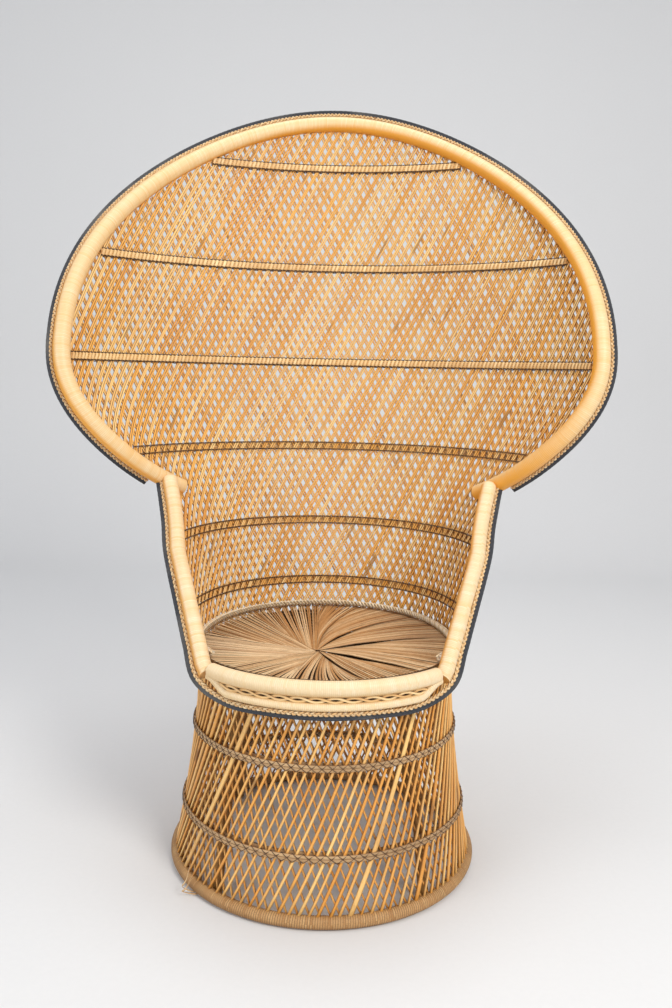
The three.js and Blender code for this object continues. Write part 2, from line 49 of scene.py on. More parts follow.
# Sizes shared with the solids
seat_height = 0.436
seat_radius = 0.248
seat_edge = 0.431
seat_dish = 0.030
seat_thickness = 0.007
seat_wall_gap = 0.0053
seat_front_room = 0.259
waist_radius = 0.242
waist_height = 0.360
skirt_flare = 0.0485
skirt_power = 1.5
skirt_top = 0.394
base_ring_radius = 0.288
wall_lean = 0.165
tub_spread = 0.22
shoulder_flare = 0.190
shoulder_start = 0.580
shoulder_end = 0.960
rim_span = 0.613
rim_shape = (1, -0.0686, -0.0297)
rim_middle = 1.000
rim_top_rise = 0.487
rim_bottom_drop = 0.372
rim_end_angle = math.radians(151)
rim_meets_arm = math.radians(141)
rim_edging_end = math.radians(138)
rim_thickness = 0.031
arm_thickness = 0.030
arm_insets = (0.3, 0.92)
arm_steps = 8
rail_radius = 0.278
rail_height = 0.4226
rail_thickness = 0.028
rail_end_angle = math.radians(133)
corner_start = math.radians(70)
edging_turn = math.radians(143)
slot_braid_end = math.radians(138)
lower_rail_end = math.radians(145)
contact_gap = 0.0003
edge_braid = 0.010
edge_cord = 0.0075
seat_braid_thickness = 0.010
lower_rail_thickness = 0.015
base_ring_thickness = 0.025
slot_height = 0.012
band_heights = (0.485, 0.615, 0.777, 0.960, 1.167, 1.388)
hoop_heights = (0.119, 0.272)

# Where the poles leave the solids' course, to follow the photograph: nearly straight arms that end sooner,
# and lower sides of the rim that hang less deep
arm_top_spare = 0.003
arm_course_ends = ((0.213, -0.179, 0.423), (0.318, 0.042, 0.687))
arm_leeway = 0.0135
rim_lift = 0.012
rim_lift_angles = (math.radians(85), math.radians(128))
rim_seen_angle = math.radians(146.8)
edging_top_share = 0.95

ring_low, ring_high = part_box("base_ring")
base_y = (ring_low.y + ring_high.y) / 2
AXIS = np.array([0.0, base_y, 0.0])
UP = np.array([0.0, 0.0, 1.0])


# Meshes of swept sections

class Canes:
    """Collects swept sections into one mesh, with a length and round coordinate and a tone for each cane."""

    def __init__(self):
        self.points, self.quads, self.caps, self.uvs, self.tones, self.count = [], [], [], [], [], 0

    def sweep(self, path, facing, profile, tone=0.5, closed=False, scale=None):
        """Adds a profile swept along a path. Its thickness lies along facing; scale sizes it at each point."""
        path = np.asarray(path, float)
        count, sides = len(path), len(profile)
        facing = np.broadcast_to(np.asarray(facing, float), path.shape)
        if closed:
            along = np.roll(path, -1, 0) - np.roll(path, 1, 0)
        else:
            along = np.gradient(path, axis=0)
        along /= np.linalg.norm(along, axis=1)[:, None]
        across = np.cross(facing, along)
        across /= np.linalg.norm(across, axis=1)[:, None]
        out = np.cross(along, across)
        size = np.ones(count) if scale is None else scale
        section = np.asarray(profile, float)[None, :, :] * size[:, None, None]
        rings = path[:, None, :] + across[:, None, :] * section[:, :, :1]
        rings = rings + out[:, None, :] * section[:, :, 1:]
        base = self.count
        self.points.append(rings.reshape(-1, 3))
        self.tones.append(np.full(count * sides, tone))
        self.count += count * sides
        steps = np.linalg.norm(np.diff(path, axis=0, append=path[:1]), axis=1)
        length = np.concatenate([[0.0], np.cumsum(steps)])
        rows = np.arange(count if closed else count - 1)
        i, k = np.meshgrid(rows, np.arange(sides), indexing="ij")
        i, k = i.ravel(), k.ravel()
        j, l = (i + 1) % count, (k + 1) % sides
        self.quads.append(base + np.stack([i * sides + k, i * sides + l, j * sides + l, j * sides + k], 1))
        low, high = length[i], length[i + 1]
        near, far = k / sides, (k + 1) / sides
        self.uvs.append(np.stack([low, near, low, far, high, far, high, near], 1).reshape(-1, 2))
        if not closed:
            self.caps.append(base + np.arange(sides)[::-1])
            self.caps.append(base + (count - 1) * sides + np.arange(sides))

    def make(self, name, material, slot, *nodes):
        """One object of all the sections, in a material slot; it takes the place of the nodes named. slot is
        not used.
        """
        points = np.concatenate(self.points)
        quads = np.concatenate(self.quads)
        loops = np.concatenate([quads.ravel()] + list(self.caps))
        totals = np.array([4] * len(quads) + [len(cap) for cap in self.caps])
        starts = np.concatenate([[0], np.cumsum(totals)[:-1]])
        mesh = bpy.data.meshes.new(name)
        mesh.vertices.add(len(points))
        mesh.vertices.foreach_set("co", points.ravel())
        mesh.loops.add(len(loops))
        mesh.loops.foreach_set("vertex_index", loops.astype(np.int32))
        mesh.polygons.add(len(totals))
        mesh.polygons.foreach_set("loop_start", starts.astype(np.int32))
        flags = np.zeros(len(totals), bool)
        flags[:len(quads)] = True
        mesh.polygons.foreach_set("use_smooth", flags)
        layer = mesh.uv_layers.new(name="length_round")
        uvs = np.zeros((len(loops), 2), np.float32)
        uvs[:4 * len(quads)] = np.concatenate(self.uvs)
        layer.data.foreach_set("uv", uvs.ravel())
        tone = mesh.attributes.new("tone", "FLOAT", "POINT")
        tone.data.foreach_set("value", np.concatenate(self.tones).astype(np.float32))
        mesh.update(calc_edges=True)
        mesh.validate()
        mesh.materials.append(material)
        piece = bpy.data.objects.new(name, mesh)
        bpy.context.scene.collection.objects.link(piece)
        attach(piece, "root")
        if nodes:
            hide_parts(*nodes)


def unit(v):
    return v / np.linalg.norm(v, axis=-1, keepdims=True)


def lengths_along(path):
    return np.concatenate([[0.0], np.cumsum(np.linalg.norm(np.diff(path, axis=0), axis=1))])


def at_lengths(at, length, values):
    return np.stack([np.interp(at, length, values[:, k]) for k in range(3)], 1)


def ellipse(width, thickness, sides=8):
    turns = [2 * math.pi * (k + 0.5) / sides for k in range(sides)]
    return [(math.cos(a) * width / 2, math.sin(a) * thickness / 2) for a in turns]


def reed(width, thickness, edge=0.25):
    """A flat section with rounded edges."""
    w, t = width / 2, thickness / 2
    inset = w * edge
    corner_in, corner_up = inset * 0.3, t * 0.75
    half = [(w, 0), (w - corner_in, corner_up), (w - inset, t), (-w + inset, t), (-w + corner_in, corner_up)]
    return half + [(-x, -y) for x, y in half]


def resample(path, step):
    path = np.asarray(path, float)
    length = lengths_along(path)
    count = max(2, int(round(length[-1] / step)))
    return at_lengths(np.linspace(0, length[-1], count + 1), length, path)


def path_frame(path, facing):
    """The sideways and outward directions at each point of a path, and the lengths along it."""
    along = unit(np.gradient(path, axis=0))
    across = unit(np.cross(facing, along))
    return across, np.cross(along, across), lengths_along(path)


# Walls, poles and paths of the chair, as in the solids

def smooth_share(start, end, value):
    """A share that eases from 0 to 1 between two values."""
    x = np.clip((np.asarray(value, float) - start) / (end - start), 0, 1)
    return x * x * (3 - 2 * x)


def on_circle(radius, angle, height):
    radius, angle, height = np.broadcast_arrays(*(np.asarray(v, float) for v in (radius, angle, height)))
    return np.stack([radius * np.sin(angle), base_y + radius * np.cos(angle), height], -1)


def outward(angle):
    """The level direction from the chair's middle at an angle."""
    return unit(on_circle(1, angle, 0) - AXIS)


def front_angles(start, count):
    """Even angles round the front, from start on one side to the same place on the other."""
    return start + np.linspace(0, 1, count) * 2 * (math.pi - start)


def flat_reach(thickness, sides):
    """From the middle of a section with flat sides to one of them."""
    return thickness / 2 * math.cos(math.pi / sides)


def skirt_radius(height):
    below_waist = np.maximum(0, 1 - np.asarray(height, float) / waist_height)
    return waist_radius + skirt_flare * below_waist ** skirt_power


def wall_radius(height):
    rise = np.asarray(height, float) - seat_height
    flare = shoulder_flare * smooth_share(shoulder_start, shoulder_end, height)
    return seat_radius + tub_spread * rise + flare


def rim_height(t):
    c = np.cos(t)
    lift = rim_lift * smooth_share(*rim_lift_angles, np.abs(t))
    return rim_middle + np.where(c >= 0, rim_top_rise, rim_bottom_drop) * c + lift


def rim_round(t):
    return rim_span * sum(share * np.sin((i + 1) * np.asarray(t, float)) for i, share in enumerate(rim_shape))


arm_top = rim_middle + rim_bottom_drop * math.cos(rim_meets_arm)


def wall_surface(angle, height):
    """A point of the back's wall, which leans back and reaches out to the rail at the front."""
    angle, height = np.broadcast_arrays(np.asarray(angle, float), np.asarray(height, float))
    low = 1 - np.clip((height - seat_height) / (arm_top - seat_height), 0, 1)
    reach = (rail_radius - seat_radius) * low * smooth_share(corner_start, rail_end_angle, np.abs(angle))
    radius = wall_radius(height) + reach
    centre = seat_radius + wall_lean * (height - seat_height) - wall_radius(height)
    return np.stack([radius * np.sin(angle), base_y + centre + radius * np.cos(angle), height], -1)


def wall_normal(angle, height):
    e = 1e-4
    round_ = wall_surface(np.asarray(angle) + e, height) - wall_surface(np.asarray(angle) - e, height)
    climb = wall_surface(angle, np.asarray(height) + e) - wall_surface(angle, np.asarray(height) - e)
    return unit(np.cross(climb, round_))


def wall_point(round_, height, offset=0.0):
    """A point by its length round the wall from the back's middle, its height and how far it stands off."""
    angle = np.asarray(round_, float) / wall_radius(height)
    return wall_surface(angle, height) + wall_normal(angle, height) * np.asarray(offset, float)[..., None]


rim_t = np.linspace(-rim_end_angle, rim_end_angle, 600)
rim_path = wall_point(rim_round(rim_t), rim_height(rim_t))
RIM_CENTRE = np.array([0.0, base_y, rim_middle])


def outward_along(points):
    """Direction across a path that faces away from the fan's middle, seen from the front."""
    along = unit(np.gradient(points, axis=0))
    flat = np.stack([along[:, 2], np.zeros(len(points)), -along[:, 0]], 1)
    away = np.sum(flat * (points - RIM_CENTRE), 1)
    flat[away < 0] *= -1
    flat -= along * np.sum(flat * along, 1)[:, None]
    return unit(flat)


def arm_angle(share):
    end = float(rim_round(rim_meets_arm) / wall_radius(arm_top))
    return rail_end_angle + (end - rail_end_angle) * np.asarray(share, float)


def arm_line(steps):
    """The course of the right arm's middle, from its foot at the front rail to its top under the rim."""
    share = np.linspace(0, 1, steps + 1)
    angle, height = arm_angle(share), rail_height + (arm_top - rail_height) * share
    inset = ((rim_thickness + arm_thickness) / 2 + contact_gap) * smooth_share(*arm_insets, share)
    points = wall_surface(angle, height) - wall_normal(angle, height) * inset[:, None]
    foot = unit(points[0] - points[1])
    top = unit(points[-1] - points[-2])
    points[0] += foot * rail_thickness / 2
    points = np.vstack([points, points[-1] + top * arm_top_spare])
    return straightened(points)


def straightened(points):
    """An arm's path drawn towards a straight course, by less than half the arm's thickness."""
    low, high = (np.array(end) + AXIS for end in arm_course_ends)
    share = (points[:, 2] - low[2]) / (high[2] - low[2])
    pull = low + share[:, None] * (high - low) - points
    return points + pull * arm_leeway / np.maximum(arm_leeway, np.linalg.norm(pull, axis=1))[:, None]


arm_course = arm_line(80)


def arm_round(height):
    """How far round the wall an arm is at a height."""
    at = np.stack([np.interp(height, arm_course[:, 2], arm_course[:, k]) for k in (0, 1)], -1)
    centre = seat_radius + wall_lean * (height - seat_height) - wall_radius(height)
    return wall_radius(height) * np.arctan2(at[..., 0], at[..., 1] - base_y - centre)


def mirrored(points):
    return np.asarray(points) * np.array([-1.0, 1.0, 1.0])


def curve_through(points, step):
    """A centripetal curve through points, sampled evenly."""
    p = [np.asarray(q, float) for q in points]
    p = [2 * p[0] - p[1]] + p + [2 * p[-1] - p[-2]]
    out = []
    for i in range(1, len(p) - 2):
        a, b, c, d = p[i - 1:i + 3]
        s0, s1, s2 = (max(np.linalg.norm(v) ** 0.5, 1e-6) for v in (b - a, c - b, d - c))
        m1 = ((b - a) / s0 - (c - a) / (s0 + s1) + (c - b) / s1) * s1
        m2 = ((c - b) / s1 - (d - b) / (s1 + s2) + (d - c) / s2) * s1
        for t in np.linspace(0, 1, 12, endpoint=False):
            out.append(b + m1 * t + (3 * (c - b) - 2 * m1 - m2) * t * t + (2 * (b - c) + m1 + m2) * t ** 3)
    out.append(p[-2])
    return resample(out, step)


# Materials

def colour(code):
    """A linear colour from its screen code."""
    values = [int(code[i:i + 2], 16) / 255 for i in (0, 2, 4)]
    return tuple(v / 12.92 if v <= 0.04045 else ((v + 0.055) / 1.055) ** 2.4 for v in values) + (1.0,)


class Nodes:
    """A new material and short ways to add nodes to it. A value is a number or another node's output."""

    def __init__(self, name):
        self.material = bpy.data.materials.new(name)
        self.material.use_nodes = True
        self.tree = self.material.node_tree
        self.shader = self.tree.nodes["Principled BSDF"]

    def link(self, a, b):
        self.tree.links.new(a, b)

    def feed(self, sockets, values):
        for socket, v in zip(sockets, values):
            if isinstance(v, (int, float, tuple)):
                socket.default_value = v
            else:
                self.link(v, socket)

    def math(self, operation, *values):
        node = self.tree.nodes.new("ShaderNodeMath")
        node.operation = operation
        self.feed(node.inputs, values)
        return node.outputs[0]

    def times(self, a, b):
        return self.math("MULTIPLY", a, b)

    def mix(self, factor, a, b):
        node = self.tree.nodes.new("ShaderNodeMix")
        node.data_type = "RGBA"
        self.feed((node.inputs[0], node.inputs[6], node.inputs[7]), (factor, a, b))
        return node.outputs[2]

    def noise(self, vector, scale, detail=3.0, rough=0.55):
        node = self.tree.nodes.new("ShaderNodeTexNoise")
        node.inputs["Scale"].default_value = scale
        node.inputs["Detail"].default_value = detail
        node.inputs["Roughness"].default_value = rough
        self.link(vector, node.inputs["Vector"])
        return node.outputs["Fac"]

    def span(self, value, low, high, start=0.0, end=1.0):
        """A value between low and high as a value between start and end, and no further."""
        node = self.tree.nodes.new("ShaderNodeMapRange")
        for key, v in (("From Min", low), ("From Max", high), ("To Min", start), ("To Max", end)):
            node.inputs[key].default_value = v
        self.link(value, node.inputs["Value"])
        return node.outputs["Result"]

    def position(self):
        return self.tree.nodes.new("ShaderNodeTexCoord").outputs["Object"]

    def coordinates(self):
        """Length along the cane, share round it, and the cane's tone."""
        uv = self.tree.nodes.new("ShaderNodeUVMap")
        uv.uv_map = "length_round"
        split = self.tree.nodes.new("ShaderNodeSeparateXYZ")
        self.link(uv.outputs[0], split.inputs[0])
        tone = self.tree.nodes.new("ShaderNodeAttribute")
        tone.attribute_name = "tone"
        return split.outputs["X"], split.outputs["Y"], tone.outputs["Fac"]

    def combine(self, x, y, z):
        node = self.tree.nodes.new("ShaderNodeCombineXYZ")
        self.feed(node.inputs, (x, y, z))
        return node.outputs[0]

    def bump(self, height, strength, distance):
        node = self.tree.nodes.new("ShaderNodeBump")
        node.inputs["Strength"].default_value = strength
        node.inputs["Distance"].default_value = distance
        self.link(height, node.inputs["Height"])
        self.link(node.outputs[0], self.shader.inputs["Normal"])


mark_colour = "6b421c"
# The way the key lamp's light falls: wrapped poles are painted pale on the side facing it and golden shade
# elsewhere.
painted_light_way = (0.62, -0.30, 0.72)


def cane(name, base, dark, light, rough=0.5, coat=0.0, patch=0.35, marks=0.5, fibre=1.0, edges=0.0,
         side_shade="7a481c"):
    """Split or whole cane: fibres, growth marks, painted shade along each cane's sides, a tone for each cane
    and broad patches.
    """
    n = Nodes(name)
    length, share, tone = n.coordinates()
    place = n.position()
    strand = n.combine(n.times(length, 26.0), n.times(share, 5.0), n.times(tone, 57.0))
    fibres = n.noise(strand, 3.2, 4.0, 0.6)
    drift = n.noise(n.combine(n.times(length, 5.0), 0.0, n.times(tone, 91.0)), 1.0, 2.0)
    broad = n.noise(place, 3.1, 3.0)
    col = n.mix(n.span(tone, 0.15, 1.0), colour(base), colour(light))
    col = n.mix(n.span(drift, 0.42, 0.75, 0.0, 0.55), col, colour(dark))
    col = n.mix(n.span(fibres, 0.48, 0.72, 0.0, 0.38 * fibre), col, colour(dark))
    col = n.mix(n.span(broad, 0.45, 0.75, 0.0, patch), col, colour(dark))
    marked = n.noise(n.combine(n.times(length, 11.0), 0.0, n.times(tone, 33.0)), 1.0, 0.0)
    col = n.mix(n.span(marked, 0.72, 0.78, 0.0, marks), col, colour(mark_colour))
    # Painted shade: each cane's two narrow sides are darkened towards the side_shade colour, by the share
    # edges.
    side = n.math("ABSOLUTE", n.math("COSINE", n.times(n.math("ADD", share, 0.08), 2 * math.pi)))
    col = n.mix(n.span(side, 0.62, 0.98, 0.0, edges), col, colour(side_shade))
    n.link(col, n.shader.inputs["Base Color"])
    n.link(n.span(fibres, 0.3, 0.7, rough - 0.08, rough + 0.12), n.shader.inputs["Roughness"])
    n.shader.inputs["Coat Weight"].default_value = coat
    n.shader.inputs["Coat Roughness"].default_value = 0.28
    n.bump(fibres, 0.35, 0.0004)
    return n.material


def wrapped(name, base, gold, dark, pale, pitch, rough=0.42, coat=0.12, painted_shade=0.95, worn=0.12, lines=0.30):
    """Pole wrapped in peeled cane: a groove each turn, turns that differ, and painted light and shade: pale
    where it faces the lit way and painted golden shade elsewhere."""
    n = Nodes(name)
    length, share, _ = n.coordinates()
    place = n.position()
    slant = n.math("ADD", length, n.times(share, pitch))
    turns = n.math("DIVIDE", slant, pitch)
    groove = n.math("ABSOLUTE", n.math("SUBTRACT", n.math("FRACT", turns), 0.5))
    number = n.math("FLOOR", turns)
    each = n.noise(n.combine(n.times(number, 0.731), 0.0, 0.0), 4.3, 1.0)
    fibres = n.noise(n.combine(n.times(length, 900.0), n.times(share, 26.0), 0.0), 1.0, 3.0)
    broad = n.noise(place, 4.5, 3.0)
    facing = n.tree.nodes.new("ShaderNodeVectorMath")
    facing.operation = "DOT_PRODUCT"
    facing.inputs[1].default_value = painted_light_way
    n.link(n.tree.nodes.new("ShaderNodeTexCoord").outputs["Normal"], facing.inputs[0])
    lit = facing.outputs["Value"]
    col = n.mix(n.span(each, 0.35, 0.65), colour(base), colour(pale))
    # Painted light and shade: pale where the pole faces painted_light_way, golden shade on the sides turned
    # away.
    col = n.mix(n.span(lit, 0.24, -0.22, 0.0, painted_shade), col, colour(gold))
    col = n.mix(n.span(broad, 0.5, 0.75, 0.0, 0.25), col, colour(gold))
    col = n.mix(n.span(fibres, 0.5, 0.75, 0.0, worn), col, colour(dark))
    deep = n.times(n.span(each, 0.38, 0.62, 0.5, 1.5), n.span(groove, 0.34, 0.5, 0.0, lines))
    col = n.mix(deep, col, colour(dark))
    n.link(col, n.shader.inputs["Base Color"])
    n.link(n.span(fibres, 0.3, 0.7, rough - 0.06, rough + 0.14), n.shader.inputs["Roughness"])
    n.shader.inputs["Coat Weight"].default_value = coat
    n.shader.inputs["Coat Roughness"].default_value = 0.3
    n.bump(n.math("ADD", n.span(groove, 0.3, 0.5, 1.0, 0.0), n.times(fibres, 0.35)), 0.5, 0.0005)
    return n.material


def worn_cord(name, base, light, bare, rough=0.6):
    """Dyed cord: the dye has worn off along the crests and in patches. For the slot backing the dark colour is
    painted shadow.
    """
    n = Nodes(name)
    length, share, tone = n.coordinates()
    place = n.position()
    fibres = n.noise(n.combine(n.times(length, 60.0), n.times(share, 6.0), tone), 4.0, 4.0)
    broad = n.noise(place, 6.0, 3.0)
    col = n.mix(n.span(fibres, 0.4, 0.7, 0.0, 0.7), colour(base), colour(light))
    col = n.mix(n.span(broad, 0.52, 0.72, 0.0, 0.5), col, colour(bare))
    n.link(col, n.shader.inputs["Base Color"])
    n.link(n.span(fibres, 0.3, 0.7, rough - 0.1, rough + 0.15), n.shader.inputs["Roughness"])
    n.bump(fibres, 0.4, 0.0004)
    return n.material


turn_pitch = 0.0032
pole_look = wrapped("wrapped_pole", "edc68a", "eda22c", "b98845", "f3d6a6", turn_pitch)
arm_look = wrapped("wrapped_arm", "efcb92", "e8a038", "b98845", "f8e0ba", turn_pitch, painted_shade=0.9)
rail_look = wrapped("wrapped_rail", "efd3a4", "e6be80", "bd9256", "f5dfba", turn_pitch, painted_shade=0.5)
ring_look = wrapped("wrapped_base_ring", "b0804c", "8f6232", "33200f", "cda26c", 0.0042, rough=0.6, coat=0.0,
                    painted_shade=0.5, worn=0.5, lines=0.85)
weave_look = cane("fan_cane", "f6b858", "ca7d2e", "ffdb94", rough=0.46, coat=0.1, patch=0.3, fibre=0.8,
                  edges=0.8, side_shade="7c4516")
# Darker copy of fan_cane for the canes behind: painted shade.
behind_shaded_look = cane("fan_cane_behind_shaded", "f3b255", "be742a", "fed386", rough=0.5, coat=0.05, patch=0.4,
                   edges=0.85, side_shade="6e3b12")
skirt_look = cane("skirt_cane", "f0aa4c", "bd7424", "ffd486", rough=0.46, coat=0.12, marks=0.6, edges=0.5,
                  side_shade="6a3a14")
# Darker copy of skirt_cane for the canes behind: painted shade.
skirt_behind_shaded_look = cane("skirt_cane_behind_shaded", "e6a14c", "a86624", "fac676", rough=0.55, marks=0.6, edges=0.45,
                         side_shade="55300f")
band_look = cane("band_cane", "e6b066", "bd833e", "ffe1aa", rough=0.5, edges=0.7, side_shade="7c4a1c")
hoop_look = cane("hoop_cane", "c09a6c", "8a6845", "dcba8c", rough=0.6, patch=0.5, edges=0.45)
seat_look = cane("seat_cane", "bf8c55", "84552a", "f2d6aa", rough=0.42, coat=0.1, patch=0.35, fibre=1.3,
                 edges=0.9, side_shade="43290f")
# Dark cane under the seat: painted shade for the gaps between the seat canes.
under_shade_look = cane("seat_underlay_shade", "4a311b", "2c1c0f", "5d4024", rough=0.8)
braid_look = cane("edge_braid_cane", "e2b274", "8f5b2c", "f6dcae", rough=0.55, marks=0.9, edges=0.7,
                  side_shade="6a3f1e")
frame_look = cane("frame_pole_cane", "a5793f", "7b5427", "c09658", rough=0.6)
rope_look = cane("rope_fibre", "ebd0a2", "ac895c", "faf0da", rough=0.8, fibre=1.3, patch=0.4, edges=0.7,
                 side_shade="5d452b")
lash_look = worn_cord("dark_lashing", "40281a", "6a4a30", "8a6a48")
cord_look = worn_cord("black_edging", "23242a", "474b52", "7b776f", rough=0.55)
# The slot material is painted shadow: a dark backing seen through the apron braid's slots.
slot_shadow_look = worn_cord("slot_shadow", "2c1b10", "42291a", "4a3120", rough=0.8)


# Woven back: pairs of flattened canes on two slants, the rising ones on the sitter's side

arm_path = arm_line(60)
rim_seen = np.abs(rim_t) < rim_seen_angle
poles = ((rim_path[rim_seen], rim_thickness / 2), (arm_path, arm_thickness / 2),
         (mirrored(arm_path), arm_thickness / 2))


def clearance(points):
    """Least distance from each point to the surface of the rim pole and the arms."""
    least = np.full(len(points), np.inf)
    for path, radius in poles:
        a, d = path[:-1], np.diff(path, axis=0)
        square = np.sum(d * d, 1)
        for part in np.array_split(np.arange(len(points)), len(points) // 2000 + 1):
            q = points[part]
            t = np.clip(((q[:, None, :] - a[None]) * d[None]).sum(2) / square, 0, 1)
            gap = np.linalg.norm(q[:, None, :] - a[None] - t[:, :, None] * d[None], axis=2).min(1) - radius
            least[part] = np.minimum(least[part], gap)
    return least


weave_foot = 0.397
fewest_points = 4
point_stride = 6
rim_heights = rim_height(rim_t[rim_t >= 0])
rim_rounds = rim_round(rim_t[rim_t >= 0])


def inside_border(round_, height):
    """Whether a point of the wall lies between the arms or inside the rim."""
    across = np.abs(round_)
    in_tub = (height < arm_top) & (across < arm_round(height))
    order = np.argsort(rim_heights)
    rim_at = np.interp(height, rim_heights[order], rim_rounds[order])
    in_fan = (height >= arm_top) & (height < rim_middle + rim_top_rise) & (across < rim_at)
    return in_tub | in_fan


def wall_cane(builder, rounds, heights, offset, profile, tone, sink=0.002):
    """A cane along the wall, cut where it meets the poles; sink is how far it runs into them."""
    points = wall_point(rounds, heights, offset)
    keep = inside_border(rounds, heights) & (clearance(points) > -sink) & (heights > weave_foot)
    edges = np.flatnonzero(np.diff(np.concatenate([[0], keep.astype(int), [0]])))
    for low, high in zip(edges[::2], edges[1::2]):
        if high - low < fewest_points:
            continue
        picks = np.unique(np.concatenate([np.arange(low, high, point_stride), [high - 1]]))
        angle = rounds[picks] / wall_radius(heights[picks])
        builder.sweep(points[picks], wall_normal(angle, heights[picks]), profile, tone)


cane_pitch = 0.0175
cane_width = 0.0041
cane_thickness = 0.0034
cane_slope = math.tan(math.radians(28.7))
pair_split = 0.0023
layer_offset = 0.0017
slant_middle = 0.95
fine_heights = np.arange(weave_foot, rim_middle + rim_top_rise, 0.0035)
section = ellipse(cane_width, cane_thickness, 6)
reach_round = rim_span + 1.1 * cane_slope
count = int(reach_round / cane_pitch)
for lean, name in ((1, "rising"), (-1, "falling")):
    builder = Canes()
    for i in range(-count, count + 1):
        shift = rng.gauss(0, 0.0011)
        wave, phase = rng.uniform(0.0004, 0.0012), rng.uniform(0, 6.28)
        tone = rng.random()
        split = pair_split + rng.uniform(-0.0002, 0.0005)
        for side in (-1, 1):
            bow = wave * np.sin(fine_heights * 14 + phase)
            slant = lean * (fine_heights - slant_middle) * cane_slope
            rounds = slant + i * cane_pitch + shift + bow + side * split
            wall_cane(builder, rounds, fine_heights, np.full(len(rounds), -lean * layer_offset), section,
                      min(1, max(0, tone + rng.uniform(-0.12, 0.12))))
    # The falling canes behind take the darker copy of the cane material: painted shade.
    material = weave_look if lean > 0 else behind_shaded_look
    builder.make("back_canes_" + name, material, "back_cane", "back_weave")


# Bands across the back: two dark stitched lines; between them a pale strip outside, and inside on the fan

band_step = 0.002
band_clearance = 0.0005


def band_half(height):
    """How far round the wall a band reaches before it meets a pole."""
    steps = np.arange(0, rim_span + rim_thickness, band_step)
    heights = np.full(len(steps), height)
    ok = inside_border(steps, heights) & (clearance(wall_point(steps, heights)) > band_clearance)
    return steps[np.argmin(ok) - 1] if not ok.all() else steps[-1]


def twined(builder, rounds, height, offset, width=0.0014, swing=0.0011, pitch=0.0175):
    """Two thin strands twisted round each other along the wall."""
    for phase in (0, math.pi):
        turn = 2 * math.pi * rounds / pitch + phase
        heights = height + swing * np.sin(turn)
        points = wall_point(rounds, heights, offset + swing * 0.5 * np.cos(turn))
        facing = wall_normal(rounds / wall_radius(heights), heights)
        builder.sweep(points, facing, ellipse(width, width, 5), phase / 4)


band_width = 0.0145
stitch_offset = 0.0047
stitch_step = 0.0022
reed_offset = 0.0046
reed_step = 0.009
reed_share = 0.27
reed_thickness = 0.0016
wrap_offset = 0.0062
wrap_dip = 0.0014
wrap_pitch = 0.0088
wrap_reed = (0.0058, 0.0012)
wrap_margin = 0.006
wrap_slant = 0.0022
wrap_scatter = 0.0004
wrap_reach_share = 0.44
first_strip_inside = 3
for index, height in enumerate(band_heights):
    half = band_half(height)
    rounds = np.arange(-half, half, stitch_step)
    plain = np.arange(-half, half, reed_step)
    for side, label in ((-1, "inside"), (1, "outside")):
        node = f"back_band_{index + 1}_{label}"
        stitches = Canes()
        for edge in (-1, 1):
            twined(stitches, rounds, height + edge * band_width / 2, side * stitch_offset)
        stitches.make(node + "_stitches", lash_look, "peeled_cane", node)
        if side > 0 or index >= first_strip_inside:
            strip = Canes()
            for edge in (-1, 0, 1):
                heights = np.full(len(plain), height + edge * band_width * reed_share)
                points = wall_point(plain, heights, side * reed_offset)
                strip.sweep(points, wall_normal(plain / wall_radius(heights), heights),
                            reed(band_width * reed_share, reed_thickness), rng.uniform(0.1, 0.4))
            for middle in np.arange(-half + wrap_margin, half - wrap_margin, wrap_pitch):
                climb = np.linspace(-1, 1, 7)
                path_rounds = middle + climb * wrap_slant + rng.gauss(0, wrap_scatter)
                heights = height + climb * band_width * wrap_reach_share
                points = wall_point(path_rounds, heights, side * (wrap_offset - wrap_dip * climb ** 4))
                strip.sweep(points, wall_normal(path_rounds / wall_radius(heights), heights),
                            reed(*wrap_reed), rng.uniform(0.6, 1.0))
            strip.make(node + "_strip", band_look, "peeled_cane", node)


# Wrapped poles: the rim, the arms, the rails and the base ring

pole_sides = 18
groove_depth = 0.00030
dome_share = 0.8
dome_least = 0.02


def wrapped_pole(name, path, facing, radius, material, pitch, node, closed=False, dome=False):
    """A pole with a shallow groove at each turn of its wrapping; dome rounds its last end."""
    if closed:
        path, facing = np.vstack([path, path[:1]]), np.vstack([facing, facing[:1]])
    length = lengths_along(path)
    total = length[-1]
    count = max(3, round(total / pitch) * 3)
    at = np.arange(count if closed else count + 1) * total / count
    points, sides_at = at_lengths(at, length, path), at_lengths(at, length, facing)
    depth = np.where(np.arange(len(at)) % 3 == 0, 1 - groove_depth / radius, 1.0)
    if dome:
        left = np.clip((total - at) / (radius * dome_share), 0, 1)
        depth = depth * np.sqrt(np.clip(1 - (1 - left) ** 2, dome_least, 1))
    builder = Canes()
    builder.sweep(points, sides_at, ellipse(2 * radius, 2 * radius, pole_sides), closed=closed, scale=depth)
    builder.make(name, material, "rattan_pole", node)


rim_swell = 0.0010
rim_shift_out = 0.0008
rim_shift_forward = 0.0024
arm_fill_share = 0.98
rail_fill_share = 0.97
rim_out = outward_along(rim_path)
rim_line = rim_path + rim_out * rim_shift_out + np.array([0, -rim_shift_forward, 0])
wrapped_pole("rim_pole_wrapped", rim_line[rim_seen], rim_out[rim_seen], rim_thickness / 2 + rim_swell,
             pole_look, turn_pitch, "rim_pole")
for node, flip in (("right_arm", 1), ("left_arm", -1)):
    path = arm_path * np.array([flip, 1.0, 1.0])
    wrapped_pole(node + "_wrapped", path, outward_along(path), arm_thickness / 2 * arm_fill_share, arm_look,
                 turn_pitch, node, dome=True)

